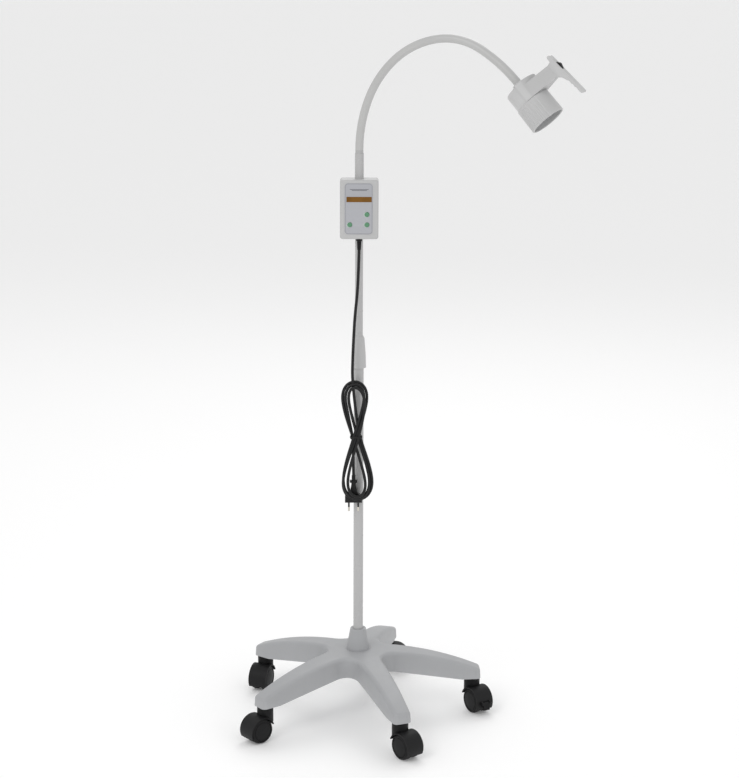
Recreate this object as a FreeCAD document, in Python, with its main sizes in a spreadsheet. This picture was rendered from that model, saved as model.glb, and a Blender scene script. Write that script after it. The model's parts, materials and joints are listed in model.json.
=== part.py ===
"""Mobile curing light on a five-castor stand.

Frame: millimetres, +Z up, origin on the floor below the column axis. The control
panel faces -Y and the gooseneck leans out towards +X.
"""
import FreeCAD, Part
import math
import os
import Sketcher

document = FreeCAD.newDocument("CuringLight")
sheet = document.addObject("Spreadsheet::Sheet", "Sheet")

DIMENSIONS = [
    ("base_yaw", 2.5, "turn of the first arm from +X, degrees"),
    ("arm_reach", 257, "hub axis to the end of an arm"),
    ("castor_radius", 240, "hub axis to a castor stem"),
    ("arm_tip_half", 18.5, "half width of an arm at its end"),
    ("arm_taper", 0.053, "widening of an arm per side towards the hub"),
    ("arm_web_radius", 30, "fillet in the crotch between two arms"),
    ("arm_tip_radius", 9, "upright corner at the end of an arm"),
    ("arm_edge_radius", 8, "rounded top edge of the star"),
    ("arm_bottom", 71.5, "height of the underside at the castors"),
    ("arm_root_bottom", 97, "height of the underside near the hub"),
    ("arm_crown", 139, "height of the arms where they leave the hub"),
    ("arm_crown_radius", 585, "radius of the arched top of an arm"),
    ("arm_wall", 5, "wall of the hollow arms"),
    ("arm_hollow_top", 103, "height of the hollow's ceiling"),
    ("hub_top", 140.2, "top of the hub plate"),
    ("hub_radius", 26, "hub plate under the cone"),
    ("cone_radius", 23.8, "foot of the hub cone"),
    ("cone_top_radius", 16, "top of the hub cone"),
    ("cone_top", 183, "height of the top of the hub cone"),
    ("nut_radius", 20, "corner radius of the base nut"),
    ("nut_height", 8, "thickness of the base nut"),
    ("wheel_radius", 26, "castor wheel"),
    ("wheel_width", 15.5, "one of the twin wheels"),
    ("web_half", 3.4, "half thickness of the hood's middle web"),
    ("castor_trail", 20, "stem axis to axle, level"),
    ("hood_radius", 29, "outside of the hood over the wheels"),
    ("hood_wall", 2.2, "wall of the hood"),
    ("hood_half", 20.2, "half width of the hood"),
    ("neck_block_radius", 16.5, "collar of the hood below the arm"),
    ("hood_top", 70.3, "top of the hood's collar"),
    ("stem_radius", 5.5, "castor stem"),
    ("stem_top", 89, "top of the castor stem"),
    ("axle_radius", 3, "castor axle"),
    ("running_gap", 0.05, "radial clearance of a running fit"),
    ("lower_tube_radius", 10, "outside of the lower pole tube"),
    ("lower_tube_wall", 1, "wall of the lower pole tube"),
    ("lower_tube_bottom", 94, "lower end of the lower tube"),
    ("lower_tube_top", 789, "upper end of the lower tube"),
    ("upper_tube_radius", 8, "outside of the upper pole tube"),
    ("upper_tube_wall", 1.2, "wall of the upper pole tube"),
    ("upper_tube_bottom", 369, "lower end of the upper tube"),
    ("upper_tube_top", 1047, "upper end of the upper tube"),
    ("bush_length", 30, "length of the glide bush"),
    ("collar_bottom", 741, "lower end of the lock collar"),
    ("collar_top", 806, "upper end of the lock collar"),
    ("collar_radius", 14.4, "outside of the lock collar"),
    ("collar_neck_radius", 11.4, "outside of the collar near its top"),
    ("collet_top", 802, "upper end of the split collet"),
    ("box_bottom", 1005.5, "underside of the control box"),
    ("box_top", 1123, "top of the control box"),
    ("box_half", 38, "half width of the control box"),
    ("box_front", 24, "column axis to the front face"),
    ("box_back", 16, "column axis to the rear face"),
    ("box_wall", 2.5, "wall of the control box"),
    ("box_corner", 5, "corner radius of the control box"),
    ("box_edge", 2.5, "rounded front and rear edges of the box"),
    ("panel_left", -28.7, "left edge of the panel film"),
    ("panel_right", 26.6, "right edge of the panel film"),
    ("panel_bottom", 1015.2, "lower edge of the panel film"),
    ("panel_top", 1116.6, "upper edge of the panel film"),
    ("panel_corner", 7, "corner radius of the panel film"),
    ("panel_thick", 0.5, "thickness of the panel film and its recess"),
    ("window_left", -25.2, "left edge of the display window"),
    ("window_right", 24.6, "right edge of the display window"),
    ("window_bottom", 1079.2, "lower edge of the display window"),
    ("window_top", 1089.8, "upper edge of the display window"),
    ("key_right", 15.2, "level position of the two right buttons"),
    ("key_left", -18.6, "level position of the left button"),
    ("key_upper", 1054.8, "height of the upper button"),
    ("key_lower", 1034.4, "height of the lower buttons"),
    ("key_radius", 4.7, "push button"),
    ("key_proud", 1.2, "push button above the face"),
    ("screw_across", 31, "case screw from the centre line"),
    ("screw_inset", 7.5, "case screw from the top and bottom faces"),
    ("gland_forward", 17, "column axis to the cord gland"),
    ("gland_bottom", 983.5, "lower end of the cord gland"),
    ("cord_radius", 3, "mains cord"),
    ("ferrule_radius", 8.8, "ferrule at the foot of the gooseneck"),
    ("ferrule_bottom", 1097, "lower end of the ferrule in the box"),
    ("ferrule_top", 1173, "upper end of the ferrule"),
    ("neck_base", 1179, "height of the first gooseneck joint"),
    ("neck_radius", 8, "gooseneck sleeve"),
    ("neck_link", 98.34, "centre-line length of one gooseneck link"),
    ("neck_gap", 0.3, "clearance between ball and cup of two links"),
    ("neck_yaw", -27, "turn of the gooseneck's plane from +X, degrees"),
    ("neck_bend1", 21.35, "bend of link 1, degrees"),
    ("neck_bend2", 26.68, "bend of link 2, degrees"),
    ("neck_bend3", 30.93, "bend of link 3, degrees"),
    ("neck_bend4", 40.28, "bend of link 4, degrees"),
    ("neck_bend5", 17.6, "bend of link 5, degrees"),
    ("head_offset", 44, "gooseneck's end to the rear edge of the barrel"),
    ("barrel_length", 48, "length of the barrel"),
    ("barrel_radius", 35, "outside of the barrel"),
    ("barrel_bore", 32, "inside of the barrel"),
    ("flute_radius", 3, "radius of a flute on the barrel"),
    ("flute_centre", 36.8, "barrel axis to the centre of a flute"),
    ("housing_radius", 33, "outside of the rear housing"),
    ("housing_length", 34, "round part of the rear housing"),
    ("saddle_radius", 34.8, "outside of the handle's saddle"),
    ("handle_half", 7.5, "half thickness of the handle"),
    ("handle_reach", 84, "barrel axis to the outer face of the handle"),
    ("handle_flare", 8, "rise of the outer face at its front end"),
    ("lens_place", 30, "rear edge of the barrel to the lens"),
    ("cord_back", 28.5, "column axis to the back of the cord's hank"),
    ("hank_depth", 13, "depth of the hank, front to back"),
    ("hank_top", 722.5, "top of the hank"),
    ("hank_waist", 604, "height where the two loops cross"),
    ("hank_bottom", 466, "bottom of the hank"),
    ("hank_across", -13, "level position where the lead meets the hank"),
    ("upper_loop_across", -7.5, "level position of the hank's upper loop"),
    ("lower_loop_across", -2.2, "level position of the hank's lower loop"),
    ("hank_bundle", 13, "width of the bundle of turns"),
    ("plug_across", -10, "level position of the plug"),
    ("plug_forward", 22, "column axis to the plug"),
    ("plug_face", 463, "height of the plug's pin face"),
    ("plug_top", 520, "upper end of the plug's strain relief"),
    ("pin_radius", 2, "plug pin"),
    ("pin_length", 19, "plug pin beyond the face"),
    ("pin_neck", 10, "sleeved part of the pin next to the face"),
    ("pin_sleeve_radius", 1.8, "moulded sleeve round that part"),
    ("pin_neck_radius", 1.4, "pin inside its sleeve"),
    ("pin_spacing", 19, "plug pins, centre to centre"),
]

CASTOR_TURNS = [-58.0, 5.0, 250.0, 219.7, -51.5]
BRAKED_CASTOR = 1
BRAKE_PIVOT = ("castor_trail + hood_radius + 2.7", "wheel_radius + 2")
NAMES = [alias for alias, _, _ in DIMENSIONS]
SUB_PARTS = []


def fill_sheet():
    for row, (alias, value, meaning) in enumerate(DIMENSIONS, start=1):
        sheet.set(f"A{row}", meaning)
        sheet.set(f"B{row}", str(value))
        sheet.setAlias(f"B{row}", alias)
    document.recompute()


def formula(text):
    """Text of an expression in which each dimension's name refers to the sheet."""
    words = []
    word = ""
    for letter in str(text) + " ":
        if letter.isalnum() or letter == "_":
            word += letter
            continue
        words.append(f"Sheet.{word}" if word in NAMES else word)
        words.append(letter)
        word = ""
    return "".join(words).strip()


def number(text):
    return float(sheet.evalExpression(formula(text)))


def bind(target, prop, text):
    target.setExpression(prop, formula(text))


def vector(x, y, z):
    return FreeCAD.Vector(x, y, z)


def new_body(label, placement=None):
    body = document.addObject("PartDesign::Body", label)
    body.Label = label
    if placement:
        body.Placement = placement
    SUB_PARTS.append(body)
    return body


def origin_feature(body, role):
    return next(item for item in body.Origin.OriginFeatures if item.Role == role)


def new_sketch(body, plane, offset="0"):
    sketch = body.newObject("Sketcher::SketchObject", "Sketch")
    sketch.AttachmentSupport = [(origin_feature(body, plane), "")]
    sketch.MapMode = "FlatFace"
    bind(sketch, "AttachmentOffset.Base.z", offset)
    return sketch


def pin_point(sketch, edge, end, across, up):
    """Hold one end of an edge, or a circle's centre, at two formulas from the origin."""
    for kind, axis, text in (("DistanceX", -2, across), ("DistanceY", -1, up)):
        value = number(text)
        if abs(value) < 1e-6:
            sketch.addConstraint(Sketcher.Constraint("PointOnObject", edge, end, axis))
            continue
        index = sketch.addConstraint(Sketcher.Constraint(kind, -1, 1, edge, end, value))
        bind(sketch, f"Constraints[{index}]", text)


def outline(body, plane, corners, offset="0", sketch=None):
    """Closed outline of straight edges; each corner is a pair of formulas."""
    sketch = sketch or new_sketch(body, plane, offset)
    first = sketch.GeometryCount
    points = [vector(number(across), number(up), 0) for across, up in corners]
    for start, end in zip(points, points[1:] + points[:1]):
        sketch.addGeometry(Part.LineSegment(start, end))
    for index, (across, up) in enumerate(corners):
        before = first + (index - 1) % len(corners)
        here = first + index
        sketch.addConstraint(Sketcher.Constraint("Coincident", before, 2, here, 1))
        pin_point(sketch, here, 1, across, up)
    return sketch


def rectangle(body, plane, left, right, low, high, offset="0", sketch=None):
    corners = [(left, low), (right, low), (right, high), (left, high)]
    return outline(body, plane, corners, offset, sketch)


def circles(body, plane, centres, radius, offset="0", sketch=None):
    """Equal circles; each centre is a pair of formulas."""
    sketch = sketch or new_sketch(body, plane, offset)
    for across, up in centres:
        centre = vector(number(across), number(up), 0)
        edge = sketch.addGeometry(Part.Circle(centre, vector(0, 0, 1), number(radius)))
        pin_point(sketch, edge, 3, across, up)
        index = sketch.addConstraint(Sketcher.Constraint("Radius", edge, number(radius)))
        bind(sketch, f"Constraints[{index}]", radius)
    return sketch


def extrude(body, kind, sketch, length, reverse=False, both=False, taper=None):
    feature = body.newObject(f"PartDesign::{kind}", kind)
    feature.Profile = sketch
    bind(feature, "Length", length)
    feature.Reversed = reverse
    if both:
        feature.SideType = "Symmetric"
    if taper:
        feature.TaperAngle = taper
    return feature


def pad(body, sketch, length, **options):
    return extrude(body, "Pad", sketch, length, **options)


def pocket(body, sketch, length, **options):
    return extrude(body, "Pocket", sketch, length, **options)


def turn(body, kind, sketch, axis="V_Axis", angle="360", both=False):
    feature = body.newObject(f"PartDesign::{kind}", kind)
    feature.Profile = sketch
    feature.ReferenceAxis = (sketch, [axis])
    bind(feature, "Angle", angle)
    feature.Midplane = both
    return feature


def ball(body, kind, radius, place=(0, 0, 0)):
    feature = body.newObject(f"PartDesign::{kind}Sphere", "Ball")
    bind(feature, "Radius", radius)
    feature.AttachmentOffset = FreeCAD.Placement(vector(*place), FreeCAD.Rotation())
    feature.Placement = FreeCAD.Placement(vector(*place), FreeCAD.Rotation())
    return feature


def polar(body, feature, axis_role, count, angle="360"):
    pattern = body.newObject("PartDesign::PolarPattern", "PolarPattern")
    pattern.Originals = [feature]
    pattern.Axis = (origin_feature(body, axis_role), [""])
    bind(pattern, "Angle", angle)
    pattern.Occurrences = count
    body.Tip = pattern
    return pattern


def edges_where(feature, test):
    """Names of a feature's edges for which test holds."""
    document.recompute()
    edges = enumerate(feature.Shape.Edges, start=1)
    return [f"Edge{index}" for index, edge in edges if test(edge)]


def soften(body, feature, kind, size, test):
    """Fillet or chamfer the chosen edges of a feature."""
    names = edges_where(feature, test)
    dressed = body.newObject(f"PartDesign::{kind}", kind)
    dressed.Base = (feature, names)
    bind(dressed, "Radius" if kind == "Fillet" else "Size", size)
    return dressed


def runs_along(direction):
    """Test for straight edges parallel to a direction."""
    def test(edge):
        if edge.Curve.TypeId != "Part::GeomLine":
            return False
        along = edge.Vertexes[-1].Point - edge.Vertexes[0].Point
        return along.cross(direction).Length < 1e-3 * along.Length
    return test


def lies_at(axis, place):
    """Test for edges that lie in the plane where one coordinate has a given value."""
    def test(edge):
        box = edge.BoundBox
        low = getattr(box, f"{axis}Min")
        high = getattr(box, f"{axis}Max")
        return abs(low - place) < 1e-3 and abs(high - place) < 1e-3
    return test


def ring(label, outer, inner, bottom, top, placement=None):
    """Round tube or bush on the body's Z axis."""
    body = new_body(label, placement)
    corners = [(inner, bottom), (outer, bottom), (outer, top), (inner, top)]
    turn(body, "Revolution", outline(body, "XZ_Plane", corners))
    return body


# Base -----------------------------------------------------------------------------

def star_corners(reach, half, crotch_angle=36):
    """Corners of the five-armed outline: a crotch, then the two ends of each arm."""
    corners = []
    spread = f"({half} + ({reach}) * arm_taper)"
    crotch = f"({spread} / (sin({crotch_angle}) + arm_taper * cos({crotch_angle})))"
    for arm in range(5):
        angle = 72 * arm
        low = angle - crotch_angle
        corners.append((f"{crotch} * cos({low})", f"{crotch} * sin({low})"))
        for side in (-1, 1):
            across = f"({reach}) * cos({angle}) - {side} * ({half}) * sin({angle})"
            up = f"({reach}) * sin({angle}) + {side} * ({half}) * cos({angle})"
            corners.append((across, up))
    return corners


def upright_edges(inside, outside):
    """Test for edges that climb, between two distances from the Z axis."""
    def test(edge):
        middle = edge.CenterOfMass
        climbs = abs(edge.Vertexes[-1].Z - edge.Vertexes[0].Z) > 1
        return climbs and inside <= math.hypot(middle.x, middle.y) < outside
    return test


def base_star():
    """Hollow star with a drafted side wall, an arched top and a bore for each stem."""
    turned = FreeCAD.Rotation(number("base_yaw"), 0, 0)
    body = new_body("base_star", FreeCAD.Placement(vector(0, 0, 0), turned))
    reach = number("arm_reach")
    plan = outline(body, "XY_Plane", star_corners("arm_reach", "arm_tip_half"), "arm_bottom")
    star = pad(body, plan, "hub_top - arm_bottom", taper=-2.5)
    webs = soften(body, star, "Fillet", "arm_web_radius", upright_edges(0, reach / 2))
    soften(body, webs, "Fillet", "arm_tip_radius", upright_edges(reach * 0.8, reach * 2))
    underside = [("0", "arm_bottom - 5"), ("0", "arm_root_bottom"), ("62", "arm_root_bottom"),
                 ("218", "arm_bottom"), ("arm_reach + 20", "arm_bottom"),
                 ("arm_reach + 20", "arm_bottom - 5")]
    crowned = turn(body, "Groove", crown_outline(body))
    low = number("arm_bottom") + 20
    soften(body, crowned, "Fillet", "arm_edge_radius", rim_edges(low))
    turn(body, "Groove", outline(body, "XZ_Plane", underside))
    cavity = star_corners("castor_radius - 26", "arm_tip_half - arm_wall")
    inside = outline(body, "XY_Plane", cavity, "arm_bottom - 5")
    pocket(body, inside, "arm_hollow_top - arm_bottom + 5", reverse=True)
    stems = [(f"castor_radius * cos({72 * arm})", f"castor_radius * sin({72 * arm})")
             for arm in range(5)]
    bores = circles(body, "XY_Plane", stems, "stem_radius + running_gap", "arm_bottom - 5")
    pocket(body, bores, "stem_top + 3 - arm_bottom + 5", reverse=True)
    bore = circles(body, "XY_Plane", [("0", "0")], "lower_tube_radius", "hub_top")
    pocket(body, bore, "hub_top - arm_root_bottom")


def rim_edges(low):
    """Test for the edges where the arched top meets the side walls."""
    def test(edge):
        ends = [vertex.Z for vertex in edge.Vertexes]
        middle = edge.CenterOfMass
        outside = math.hypot(middle.x, middle.y) > number("hub_radius") + 2
        return min(ends) > low and outside
    return test


def crown_outline(body):
    """Region above the arched top of the arms, outside the hub plate."""
    sketch = new_sketch(body, "XZ_Plane")
    near = number("hub_radius")
    far = number("arm_reach") + 20
    crown = number("arm_crown")
    radius = number("arm_crown_radius")
    high = number("hub_top") + 10
    centre = vector(near, crown - radius, 0)
    swing = math.asin((far - near) / radius)
    arch = Part.ArcOfCircle(Part.Circle(centre, vector(0, 0, 1), radius),
                            math.pi / 2 - swing, math.pi / 2)
    edge = sketch.addGeometry(arch)
    outer = arch.StartPoint
    inner = arch.EndPoint
    corners = [inner, vector(near, high, 0), vector(far, high, 0), outer]
    for start, end in zip(corners, corners[1:]):
        sketch.addGeometry(Part.LineSegment(start, end))
    for first, second in ((0, 1), (1, 2), (2, 3)):
        sketch.addConstraint(Sketcher.Constraint("Coincident", first, 2, second, 1))
    sketch.addConstraint(Sketcher.Constraint("Coincident", 3, 2, edge, 1))
    pin_point(sketch, edge, 3, "hub_radius", "arm_crown - arm_crown_radius")
    pin_point(sketch, edge, 2, "hub_radius", "arm_crown")
    pin_point(sketch, 2, 1, "hub_radius", "hub_top + 10")
    pin_point(sketch, 3, 1, "arm_reach + 20", "hub_top + 10")
    sketch.addConstraint(Sketcher.Constraint("Vertical", 3))
    return sketch


def hub_cone():
    body = new_body("hub_cone")
    corners = [("lower_tube_radius", "hub_top"), ("cone_radius", "hub_top"),
               ("cone_radius", "hub_top + 2"), ("cone_top_radius", "cone_top"),
               ("lower_tube_radius", "cone_top")]
    cone = turn(body, "Revolution", outline(body, "XZ_Plane", corners))
    soften(body, cone, "Fillet", "1.5", lies_at("Z", number("cone_top")))


def base_nut():
    body = new_body("base_nut")
    hexagon = [(f"nut_radius * cos({60 * k})", f"nut_radius * sin({60 * k})") for k in range(6)]
    place = "arm_hollow_top - nut_height"
    block = pad(body, outline(body, "XY_Plane", hexagon, place), "nut_height")
    soften(body, block, "Chamfer", "1.5", lies_at("Z", number(place)))
    pocket(body, circles(body, "XY_Plane", [("0", "0")], "lower_tube_radius", "arm_hollow_top"),
           "nut_height")


def pole_parts():
    lower_inside = "lower_tube_radius - lower_tube_wall"
    ring("lower_tube", "lower_tube_radius", lower_inside, "lower_tube_bottom", "lower_tube_top")
    upper_inside = "upper_tube_radius - upper_tube_wall"
    ring("upper_tube", "upper_tube_radius", upper_inside, "upper_tube_bottom", "upper_tube_top")
    ring("glide_bush", f"{lower_inside} - running_gap", "upper_tube_radius + running_gap",
         "upper_tube_bottom + 4", "upper_tube_bottom + 4 + bush_length")


def tube_collet():
    """Split sleeve that the lock collar squeezes round the upper tube."""
    collet = ring("tube_collet", "lower_tube_radius", "upper_tube_radius + running_gap",
                  "lower_tube_top", "collet_top")
    for plane in ("XZ_Plane", "YZ_Plane"):
        slot = rectangle(collet, plane, "-0.6", "0.6", "lower_tube_top + 3", "collet_top + 1")
        pocket(collet, slot, "lower_tube_radius * 3", both=True)


def lock_collar():
    body = new_body("lock_collar")
    free = "lower_tube_radius + 0.35"
    corners = [(free, "collar_bottom"), ("collar_radius + 0.5", "collar_bottom"),
               ("collar_radius", "collar_bottom + 6"), ("collar_radius - 0.4", "collar_top - 40"),
               ("collar_neck_radius", "collar_top - 5"), ("upper_tube_radius + 0.9", "collar_top"),
               ("upper_tube_radius + 0.3", "collar_top"),
               ("upper_tube_radius + 0.3", "collet_top + 2"), (free, "collet_top + 0.4")]
    turn(body, "Revolution", outline(body, "XZ_Plane", corners))


# Castors --------------------------------------------------------------------------

def castor_place(index):
    """Frame of a castor: its stem on Z, floor at zero, wheels trailing towards +X."""
    angle = math.radians(72 * index + number("base_yaw"))
    across = number("castor_radius") * math.cos(angle)
    deep = number("castor_radius") * math.sin(angle)
    return FreeCAD.Placement(vector(across, deep, 0), FreeCAD.Rotation(CASTOR_TURNS[index], 0, 0))


def castor_hood(index):
    """Collar and middle web with a curved cover over both wheels."""
    body = new_body(f"castor_{index + 1}_hood", castor_place(index))
    cover = circles(body, "XZ_Plane", [("castor_trail", "wheel_radius")], "hood_radius")
    pad(body, cover, "hood_half * 2", both=True)
    below = [("castor_trail", "wheel_radius"), ("castor_trail - 60", "wheel_radius + 24"),
             ("castor_trail - 60", "-10"), ("castor_trail + 60", "-10"),
             ("castor_trail + 60", "wheel_radius - 34")]
    pocket(body, outline(body, "XZ_Plane", below), "hood_half * 3", both=True)
    web = circles(body, "XZ_Plane", [("castor_trail", "wheel_radius")], "wheel_radius - 7")
    pad(body, web, "web_half * 2", both=True)
    collar = circles(body, "XY_Plane", [("0", "0")], "neck_block_radius", "hood_top - 32")
    pad(body, collar, "32")
    soften(body, body.Tip, "Chamfer", "1", lies_at("Z", number("hood_top")))
    room = "hood_radius - hood_wall"
    for side in (-1, 1):
        inside = circles(body, "XZ_Plane", [("castor_trail", "wheel_radius")], room,
                         f"{side} * (web_half + hood_half + 10) / 2")
        pocket(body, inside, "hood_half + 10 - web_half", both=True)
    stem = circles(body, "XY_Plane", [("0", "0")], "stem_radius", "hood_top")
    pocket(body, stem, "11")
    axle = circles(body, "XZ_Plane", [("castor_trail", "wheel_radius")], "axle_radius")
    pocket(body, axle, "web_half * 3", both=True)
    if index + 1 == BRAKED_CASTOR:
        for side in ("8", "-11"):
            pad(body, circles(body, "XZ_Plane", [BRAKE_PIVOT], "4.2", side), "3")
        pocket(body, circles(body, "XZ_Plane", [BRAKE_PIVOT], "2.25"), "24", both=True)


def castor_pins(index):
    """Stem pressed into the hood's collar, and the axle through its web."""
    body = new_body(f"castor_{index + 1}_pins", castor_place(index))
    stem = circles(body, "XY_Plane", [("0", "0")], "stem_radius", "hood_top - 11")
    shank = pad(body, stem, "stem_top - hood_top + 11")
    soften(body, shank, "Chamfer", "1.2", lies_at("Z", number("stem_top")))
    axle = circles(body, "XZ_Plane", [("castor_trail", "wheel_radius")], "axle_radius")
    pad(body, axle, "(web_half + wheel_width - 2) * 2", both=True)


def castor_wheel(index, side, name):
    """Wheel with a rounded tread and a dished hub cap, on its half of the axle."""
    place = castor_place(index)
    hub = vector(number("castor_trail"), 0, number("wheel_radius"))
    face = FreeCAD.Rotation(vector(1, 0, 0), 90 * side)
    frame = place.multiply(FreeCAD.Placement(hub, face))
    body = new_body(f"castor_{index + 1}_wheel_{name}", frame)
    near = "web_half + 0.6"
    far = "web_half + wheel_width"
    bore = "axle_radius + running_gap"
    corners = [(bore, near), ("wheel_radius - 2", near), ("wheel_radius", f"{near} + 2"),
               ("wheel_radius", f"{far} - 5"), ("wheel_radius - 1.5", f"{far} - 1.5"),
               ("wheel_radius - 4", far), ("wheel_radius - 5", far),
               ("wheel_radius - 5.5", f"{far} - 1.2"), ("wheel_radius - 7", f"{far} - 1.2"),
               ("wheel_radius - 7.5", f"{far} - 0.3"), ("8", f"{far} + 0.6"),
               ("0", f"{far} + 0.8"), ("0", f"{far} - 1.5"), (bore, f"{far} - 1.5")]
    turn(body, "Revolution", outline(body, "XZ_Plane", corners))


def brake_tab():
    """Foot tab that rocks on the cover of the braked castor."""
    index = BRAKED_CASTOR - 1
    body = new_body("brake_tab", castor_place(index))
    barrel = circles(body, "XZ_Plane", [BRAKE_PIVOT], "2.2")
    pad(body, barrel, "21", both=True)
    reach = "castor_trail + hood_radius"
    corners = [(f"{reach} + 2.4", "wheel_radius + 4"), (f"{reach} + 5", "wheel_radius + 2"),
               (f"{reach} + 7.5", "wheel_radius - 12"), (f"{reach} + 5", "wheel_radius - 13"),
               (f"{reach} + 1.2", "wheel_radius")]
    pad(body, outline(body, "XZ_Plane", corners), "15", both=True)


# Control box ----------------------------------------------------------------------

def screw_places():
    heights = ("box_bottom + screw_inset", "box_top - screw_inset")
    return [(across, height) for across in ("-screw_across", "screw_across") for height in heights]


def box_shell(label, depth, front):
    """Half of the control box: an open tray whose rim lies on the column's middle plane."""
    body = new_body(label)
    face = rectangle(body, "XZ_Plane", "-box_half", "box_half", "box_bottom", "box_top")
    block = pad(body, face, depth, reverse=not front)
    corners = soften(body, block, "Fillet", "box_corner", runs_along(vector(0, 1, 0)))
    place = -number(depth) if front else number(depth)
    soften(body, corners, "Fillet", "box_edge", lies_at("Y", place))
    room = rectangle(body, "XZ_Plane", "-box_half + box_wall", "box_half - box_wall",
                     "box_bottom + box_wall", "box_top - box_wall")
    pocket(body, room, f"{depth} - box_wall", reverse=front)
    bosses = circles(body, "XZ_Plane", screw_places(), "4")
    pad(body, bosses, f"{depth} - 1", reverse=not front)
    foot = circles(body, "XY_Plane", [("0", "0")], "upper_tube_radius + 0.1", "box_bottom - 1")
    pocket(body, foot, "box_wall + 2", reverse=True)
    head = circles(body, "XY_Plane", [("0", "0")], "ferrule_radius + 0.1", "box_top + 1")
    pocket(body, head, "box_wall + 2")
    return body


def box_front():
    body = box_shell("box_front", "box_front", True)
    film = rectangle(body, "XZ_Plane", "panel_left", "panel_right", "panel_bottom", "panel_top",
                     "box_front")
    recess = pocket(body, film, "panel_thick")
    depth = number("panel_thick") + 0.01

    def recess_corner(edge):
        short = edge.BoundBox.YLength < depth
        near = edge.CenterOfMass.y < -number("box_front") + depth
        return runs_along(vector(0, 1, 0))(edge) and short and near
    soften(body, recess, "Fillet", "panel_corner", recess_corner)
    window = rectangle(body, "XZ_Plane", "window_left", "window_right", "window_bottom",
                       "window_top", "box_front")
    pocket(body, window, "box_wall + 1")
    keys = circles(body, "XZ_Plane", key_places(), "key_radius + 0.3", "box_front")
    pocket(body, keys, "box_wall + 1")
    gland = circles(body, "XY_Plane", [("0", "-gland_forward")], "4.6", "box_bottom - 1")
    pocket(body, gland, "box_wall + 2", reverse=True)
    pilots = circles(body, "XZ_Plane", screw_places(), "1.5")
    pocket(body, pilots, "12", reverse=True)
    posts = [(across, height) for across in ("-27", "27")
             for height in ("box_bottom + 14", "box_top - 14")]
    studs = circles(body, "XZ_Plane", posts, "2.5", "box_front - box_wall - 2.9")
    pad(body, studs, "3.2")


def box_rear():
    body = box_shell("box_rear", "box_back", False)
    holes = circles(body, "XZ_Plane", screw_places(), "1.8")
    pocket(body, holes, "box_back + 1")
    heads = circles(body, "XZ_Plane", screw_places(), "3.4", "-box_back - 1")
    pocket(body, heads, "3.5", reverse=True)


def box_screws():
    body = new_body("box_screws")
    pad(body, circles(body, "XZ_Plane", screw_places(), "1.5", "-box_back + 2"),
        "box_back + 8")
    pad(body, circles(body, "XZ_Plane", screw_places(), "3", "-box_back + 0.5"), "2")


def key_places():
    return [("key_right", "key_upper"), ("key_right", "key_lower"), ("key_left", "key_lower")]


def panel_overlay():
    body = new_body("panel_overlay")
    film = rectangle(body, "XZ_Plane", "panel_left + 0.15", "panel_right - 0.15",
                     "panel_bottom + 0.15", "panel_top - 0.15", "box_front - panel_thick")
    sheet_pad = pad(body, film, "panel_thick")
    soften(body, sheet_pad, "Fillet", "panel_corner - 0.15", runs_along(vector(0, 1, 0)))
    window = rectangle(body, "XZ_Plane", "window_left", "window_right", "window_bottom",
                       "window_top", "box_front")
    pocket(body, window, "panel_thick * 2")
    keys = circles(body, "XZ_Plane", key_places(), "key_radius + 0.3", "box_front")
    pocket(body, keys, "panel_thick * 2")


def display_parts():
    window = new_body("display_window")
    glass = rectangle(window, "XZ_Plane", "window_left + 0.1", "window_right - 0.1",
                      "window_bottom + 0.1", "window_top - 0.1", "box_front - box_wall")
    pad(window, glass, "box_wall - 0.1")
    module = new_body("display_module")
    block = rectangle(module, "XZ_Plane", "window_left - 5", "window_right + 5",
                      "window_bottom - 7", "window_top + 7", "box_front - box_wall - 2.8")
    pad(module, block, "2.7")
    board = new_body("circuit_board")
    sheet_outline = rectangle(board, "XZ_Plane", "-box_half + 6", "box_half - 6",
                              "box_bottom + 9", "box_top - 9", "box_front - box_wall - 4.5")
    pad(board, sheet_outline, "1.6")
    corners = [(across, height) for across in ("-box_half + 6", "box_half - 6")
               for height in ("box_bottom + 9", "box_top - 9")]
    pocket(board, circles(board, "XZ_Plane", corners, "7.5", "box_front"), "box_front")


def push_buttons():
    for name, place in zip(("upper", "lower", "left"), key_places()):
        body = new_body(f"button_{name}")
        cap = circles(body, "XZ_Plane", [place], "key_radius", "box_front - box_wall - 1")
        stem = pad(body, cap, "box_wall + 1 + key_proud")
        face = lies_at("Y", -number("box_front + key_proud"))
        soften(body, stem, "Fillet", "0.8", face)
        flange = circles(body, "XZ_Plane", [place], "key_radius + 1.3",
                         "box_front - box_wall - 1.2")
        pad(body, flange, "1")


def pole_bracket():
    """Block on the rear shell that clamps the column below and the ferrule above."""
    body = new_body("pole_bracket")
    front = "-upper_tube_radius - 2.5"
    back = "box_back - box_wall"
    block = rectangle(body, "XY_Plane", "-14", "14", front, back, "box_bottom + 4")
    pad(body, block, "box_top - box_bottom - 8")
    column = circles(body, "XY_Plane", [("0", "0")], "upper_tube_radius", "box_bottom")
    pocket(body, column, "upper_tube_top - box_bottom", reverse=True)
    wires = circles(body, "XY_Plane", [("0", "0")], "4", "upper_tube_top - 1")
    pocket(body, wires, "ferrule_bottom - upper_tube_top + 2", reverse=True)
    ferrule = circles(body, "XY_Plane", [("0", "0")], "ferrule_radius", "box_top")
    pocket(body, ferrule, "box_top - ferrule_bottom")


def cord_gland():
    body = new_body("cord_gland", FreeCAD.Placement(
        vector(0, -number("gland_forward"), 0), FreeCAD.Rotation()))
    corners = [("0", "gland_bottom"), ("cord_radius + 0.7", "gland_bottom"),
               ("cord_radius + 1.4", "box_bottom - 5"), ("6", "box_bottom - 4"),
               ("6", "box_bottom"), ("4.5", "box_bottom"), ("4.5", "box_bottom + box_wall"),
               ("0", "box_bottom + box_wall")]
    turn(body, "Revolution", outline(body, "XZ_Plane", corners))


# Gooseneck ------------------------------------------------------------------------

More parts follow.
